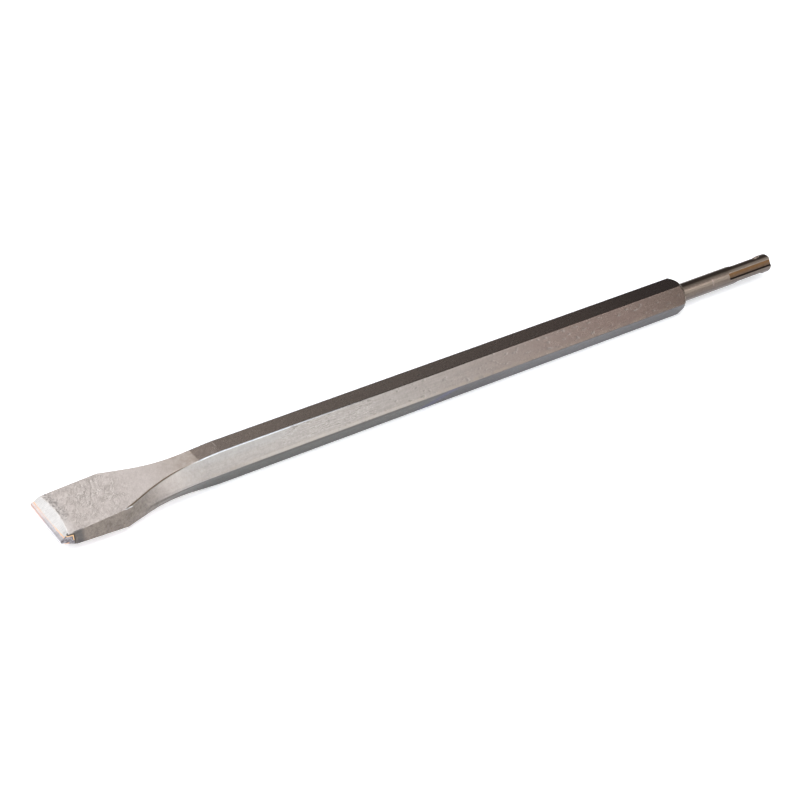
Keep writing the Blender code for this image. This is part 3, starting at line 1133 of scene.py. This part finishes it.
        # A polished nicked spot on the neck's near upper edge, painted near white as a painted highlight.
        nick_highlight = (z + 0.13 * (x + 182.9)).near(4.96, 0.10, 0.30)
        nick_highlight = nick_highlight * x.band(-183.4, -182.2, -178.8, -177.6) * y.ramp(-14.4, -15.0)
        return (
            Mark(ground * pink * 0.6, (0.92, 0.76, 0.71)),
            Mark(ground * lip * 0.5, (0.80, 0.42, 0.32)),
            Mark(ground * copper * 0.9, (0.95, 0.58, 0.36)),
            Mark(soot * 0.75, (0.075, 0.074, 0.078)),
            Mark(burr_shadow * from_edge.ramp(2.4, 3.0) * 0.8, (0.06, 0.05, 0.04)),
            Mark(self.chip.band(0.0, 0.1, 0.3, 0.5) * cut * 0.85, (0.92, 0.56, 0.26)),
            Mark(spot * self.near_side * 0.8, (0.85, 0.45, 0.22)),
            # The fold's brown scale, darkened as painted shade in its groove.
            Mark(self.make.field("fold").ramp(0.15, 0.7) * 0.9, (0.16, 0.12, 0.078)),
            Mark(nick_highlight * (1.0 - self.face) * 0.9, (0.90, 0.91, 0.93)),
        )

    def shank_marks(self) -> tuple[Mark, ...]:
        """The turned shank's painted sheen and painted shade, a painted highlight by a slot, its ring,
        and the walls of its slots, the lower one painted near black as shade.

        Returns:
            The marks, the lowest first.
        """
        x, y, z = self.x, self.y, self.z
        turned = self.turned
        # Painted sheen: two light bands along the shank.
        painted_sheen = z.near(2.5, 0.3, 1.1) + 0.8 * z.near(4.35, 0.15, 0.45)
        # Painted highlight on the shank just above the near slot's mouth, towards the end.
        slot_brow_highlight = z.band(3.9, 4.1, 4.5, 4.8) * x.ramp(182.0, 186.0)
        ring = (x + self.fine).near(self.ring_place, 0.2, 0.7) * z.band(0.5, 1.5, 3.6, 4.6)
        level = self.make.field("slot_across")
        return (
            # Painted shade on the shank's lower side.
            Mark(turned * z.ramp(2.2, 0.6) * 0.45, (0.085, 0.073, 0.064)),
            # Painted shade on the top of the shank.
            Mark(turned * z.ramp(4.4, 4.9) * 0.5, (0.10, 0.068, 0.050)),
            # Painted sheen, kept off the slots.
            Mark(turned * painted_sheen * (1.0 - self.slot) * 0.42, (0.50, 0.41, 0.34)),
            Mark(turned * slot_brow_highlight * y.ramp(-1.6, -2.0) * 0.5, (0.40, 0.34, 0.29)),
            Mark(turned * ring * 0.35, (0.50, 0.40, 0.36)),
            Mark(self.slot * level.ramp(0.7, 0.95) * 0.8, (0.42, 0.37, 0.32)),
            # Painted shade: the slots' lower walls, and the floor beside them, near black.
            Mark(self.slot * level.ramp(-0.62, -0.92), (0.012, 0.009, 0.007)),
        )

    def looks(self, layer: Layer) -> tuple[Value, Value, float]:
        """What a layer looks like by itself.

        Args:
            layer: The layer.

        Returns:
            Its colour, its roughness and how metallic it is.
        """
        finish = layer.surfacing.value
        rough = finish.roughness + (0.5 - layer.tone) * finish.spread
        return self.make.blend(layer.tone, finish.dark, finish.light), rough, finish.metallic

    def relief(self, zones: dict[Surfacing, Value]) -> Value:
        """The height that the bump reads: grain, scale, creases and pits, with none where it is turned.

        Args:
            zones: Where each finish lies.

        Returns:
            The height, in millimetres.
        """
        blasted = zones[Surfacing.BLASTED]
        grain = self.fine * (0.010 + 0.02 * blasted) + self.cloud * 0.03
        lumps = self.scale * (0.03 + 0.035 * blasted * self.rough_forging)
        lumps = (1.0 - zones[Surfacing.GROUND]) * lumps
        worked = 1.0 - zones[Surfacing.TURNED]
        return worked * (grain + lumps - self.creases(0.0) * 0.1 - self.pits() * 0.03)

    def dress(self) -> bpy.types.Material:
        """Joins the finishes, the marks and the bumps to the shader.

        Returns:
            The material.
        """
        make = self.make
        shader = self.material.node_tree.nodes["Principled BSDF"]
        base, *others = self.layers()
        colour, roughness, metallic = self.looks(base)
        for layer in others:
            own, rough, metal = self.looks(layer)
            colour = make.blend(layer.where, colour, own)
            roughness = roughness + layer.where * (rough - roughness)
            metallic = metallic + layer.where * (metal - metallic)
        marks = (*self.forging_marks(), *self.bar_marks(), *self.blade_marks(), *self.shank_marks())
        for mark in marks:
            colour = make.blend(mark.where, colour, mark.colour)
        make.join(colour, shader, "Base Color")
        make.join(roughness, shader, "Roughness")
        make.join(metallic, shader, "Metallic")
        relief = self.relief({layer.surfacing: layer.where for layer in others})
        inputs = {"Strength": 1.0, "Distance": MM, "Height": relief}
        make.join(make.node("ShaderNodeBump", {}, inputs), shader, "Normal")
        LOG.info("steel: %d finishes, %d marks", 1 + len(others), len(marks))
        return self.material


# The chisel


class FlatChisel:
    """The forging as one closed mesh, made of the bar's rings and the shank's."""

    shoulder_rings: int = 3
    sharp_angle: float = math.radians(28.0)

    def __init__(self, bar: ForgedBar, shank: SlottedShank) -> None:
        """Keeps the two sub-assemblies."""
        self.bar = bar
        self.shank = shank

    def surface(self) -> Surface:
        """The bar's rings, flat rings across the shoulder's face, and the shank's rings.

        Returns:
            The rings of points and the fields of the finish.
        """
        bar, shank = self.bar.surface(), self.shank.surface()
        share = (np.arange(1, self.shoulder_rings + 1) / (self.shoulder_rings + 1))[:, None]
        across = bar.points[-1] * (1 - share[..., None]) + shank.points[0] * share[..., None]
        points = np.concatenate([bar.points, across, shank.points])
        fields = {}
        blanks = [np.zeros(part.points.shape[:2]) for part in (bar, shank)]
        for name in dict.fromkeys([*bar.fields, *shank.fields]):
            ahead = bar.fields.get(name, blanks[0])
            behind = shank.fields.get(name, blanks[1])
            between = ahead[-1] * (1 - share) + behind[0] * share
            fields[name] = np.concatenate([ahead, between, behind])
        fields["turned"][len(bar.points) - 1 :] = 1.0
        return Surface(points, fields)

    def faces(self, rings: int) -> list[tuple[int, ...]]:
        """Quads between the rings, a zip across the nose and one flat face on the shank's end.

        Args:
            rings: The number of rings.

        Returns:
            The faces, all seen from outside.
        """
        ring, column = np.meshgrid(np.arange(rings - 1), np.arange(COLUMNS), indexing="ij")
        following = (column + 1) % COLUMNS
        low, high = ring * COLUMNS, (ring + 1) * COLUMNS
        sides = np.stack([low + column, low + following, high + following, high + column], axis=2)
        half = COLUMNS // 2
        before_ridge = 2 * self.bar.arc_columns + self.bar.face_columns + self.bar.flank_columns
        middle = before_ridge + self.bar.arc_columns // 2
        step = np.arange(1, half - 1)
        zipped = [middle - step, middle - step - 1, middle + step + 1, middle + step]
        ends = [(middle - 1, middle + 1, middle), (middle - half + 1, middle + half, middle + half - 1)]
        faces = [tuple(face) for face in sides.reshape(-1, 4).tolist()]
        faces += [tuple(face) for face in (np.stack(zipped, axis=1) % COLUMNS).tolist()]
        faces += [tuple(index % COLUMNS for index in face) for face in ends]
        last = (rings - 1) * COLUMNS
        faces.append(tuple(range(last, last + COLUMNS)))
        return faces

    def build(self) -> bpy.types.Object:
        """Makes the chisel's object.

        Returns:
            The object, at the origin.
        """
        surface = self.surface()
        mesh = bpy.data.meshes.new("forged_chisel")
        mesh.from_pydata(surface.points.reshape(-1, 3).tolist(), [], self.faces(len(surface.points)))
        for name, values in surface.fields.items():
            layer = mesh.attributes.new(name, "FLOAT", "POINT")
            layer.data.foreach_set("value", np.ascontiguousarray(values, np.float32).ravel())
        mesh.shade_smooth()
        mesh.set_sharp_from_angle(angle=self.sharp_angle)
        mesh.update()
        return placed("forged_chisel", mesh)


# The studio


@dataclass(frozen=True)
class SoftLight:
    """A rectangular lamp that points at the chisel's middle."""

    name: str
    azimuth: float
    elevation: float
    distance: float
    size: Pair
    radiance: float

    def build(self) -> None:
        """Makes the lamp, whose power is its radiance times pi times its area."""
        data = bpy.data.lights.new(self.name, "AREA")
        data.shape = "RECTANGLE"
        data.size, data.size_y = self.size
        data.energy = self.radiance * math.pi * self.size[0] * self.size[1]
        lamp = placed(self.name, data)
        turn, rise = math.radians(self.azimuth), math.radians(self.elevation)
        level = math.cos(rise)
        toward = Vector((level * math.cos(turn), level * math.sin(turn), math.sin(rise)))
        lamp.location = toward * self.distance
        lamp.rotation_euler = toward.to_track_quat("Z", "Y").to_euler()
        lamp.visible_camera = False
        LOG.info("%s: %.1f W", self.name, data.energy)


@dataclass(frozen=True)
class Studio:
    """The floor, the lamps, the surroundings and the camera."""

    floor_size: float = 16.0
    floor_drop: float = 0.2 * MM
    floor_colour: Colour = (0.90, 0.92, 0.955)
    floor_roughness: float = 0.9
    floor_glow: float = 0.3
    haze: float = 0.5
    haze_fades: Pair = (math.radians(8.0), math.radians(20.0))
    dimness: float = 0.1
    azimuth: float = math.radians(-33.669)
    elevation: float = math.radians(33.26)
    camera_place: tuple[float, float, float] = (-0.417595, -0.584641, 0.466703)
    near_clip: float = 10 * MM
    lens: float = 77.83
    sensor: float = 36.0
    lamps: tuple[SoftLight, ...] = (
        SoftLight("key", -125.0, 60.0, 2.1, (2.0, 1.6), 4.4),
        SoftLight("overhead", 0.0, 90.0, 2.2, (1.2, 1.2), 1.5),
        SoftLight("rear_left", 115.0, 34.0, 2.0, (1.3, 1.0), 1.3),
        SoftLight("rear", 84.0, 36.0, 2.0, (0.9, 1.0), 2.0),
        SoftLight("rear_right", 62.0, 33.0, 2.0, (0.5, 0.8), 0.5),
        SoftLight("front_left", -107.0, 24.0, 2.0, (1.0, 0.9), 3.0),
        SoftLight("front", -70.0, 22.0, 2.0, (1.1, 0.8), 1.7),
        SoftLight("front_right", -46.0, 38.0, 2.0, (0.8, 0.7), 3.0),
        SoftLight("low_right", -50.0, 17.0, 2.0, (0.8, 0.45), 0.72),
        SoftLight("left", 165.0, 32.0, 2.0, (1.4, 1.0), 0.8),
        SoftLight("right", -8.0, 32.0, 2.0, (1.4, 1.0), 0.7),
    )

    def floor(self) -> None:
        """Makes the plain pale floor."""
        half = self.floor_size / 2
        mesh = bpy.data.meshes.new("floor")
        corners = [(-half, -half), (half, -half), (half, half), (-half, half)]
        mesh.from_pydata([(x, y, -self.floor_drop) for x, y in corners], [], [(0, 1, 2, 3)])
        material = bpy.data.materials.new("pale_floor")
        material.use_nodes = True
        shader = material.node_tree.nodes["Principled BSDF"]
        shader.inputs["Base Color"].default_value = (*self.floor_colour, 1.0)
        shader.inputs["Roughness"].default_value = self.floor_roughness
        shader.inputs["Emission Color"].default_value = WHITE
        shader.inputs["Emission Strength"].default_value = self.floor_glow
        mesh.materials.append(material)
        placed("floor", mesh)
        LOG.info("floor: %.0f m across", self.floor_size)

    def surroundings(self) -> None:
        """Makes the room: pale up to a little above the floor, and dim higher up."""
        world = bpy.data.worlds.new("studio")
        world.use_nodes = True
        make = NodeMaker(world.node_tree)
        rise = make.node("ShaderNodeTexCoord", {}, {}, "Generated").part("Z")
        full, gone = self.haze_fades
        pale = rise.ramp(math.sin(gone), math.sin(full))
        background = world.node_tree.nodes["Background"]
        background.inputs["Color"].default_value = WHITE
        make.join(self.dimness + pale * (self.haze - self.dimness), background, "Strength")
        bpy.context.scene.world = world

    def camera(self) -> None:
        """Makes the camera at the photograph's viewing angle."""
        data = bpy.data.cameras.new("camera")
        data.lens = self.lens
        data.sensor_width = self.sensor
        data.clip_start = self.near_clip
        camera = placed("camera", data)
        camera.location = self.camera_place
        camera.rotation_euler = (math.pi / 2 - self.elevation, 0.0, self.azimuth)
        bpy.context.scene.camera = camera

    def build(self) -> None:
        """Makes everything round the chisel."""
        self.floor()
        self.surroundings()
        for lamp in self.lamps:
            lamp.build()
        self.camera()
        bpy.context.scene.view_settings.view_transform = "Standard"


def main() -> None:
    """Builds the chisel and the studio."""
    logging.basicConfig(level=logging.INFO)
    chisel = FlatChisel(ForgedBar(), SlottedShank()).build()
    chisel.data.materials.append(SteelSkin().dress())
    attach(chisel, "root")
    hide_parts("flat_chisel")
    LOG.info("%s: %d points, %d faces", chisel.name, len(chisel.data.vertices), len(chisel.data.polygons))
    Studio().build()


if __name__ == "__main__":
    main()
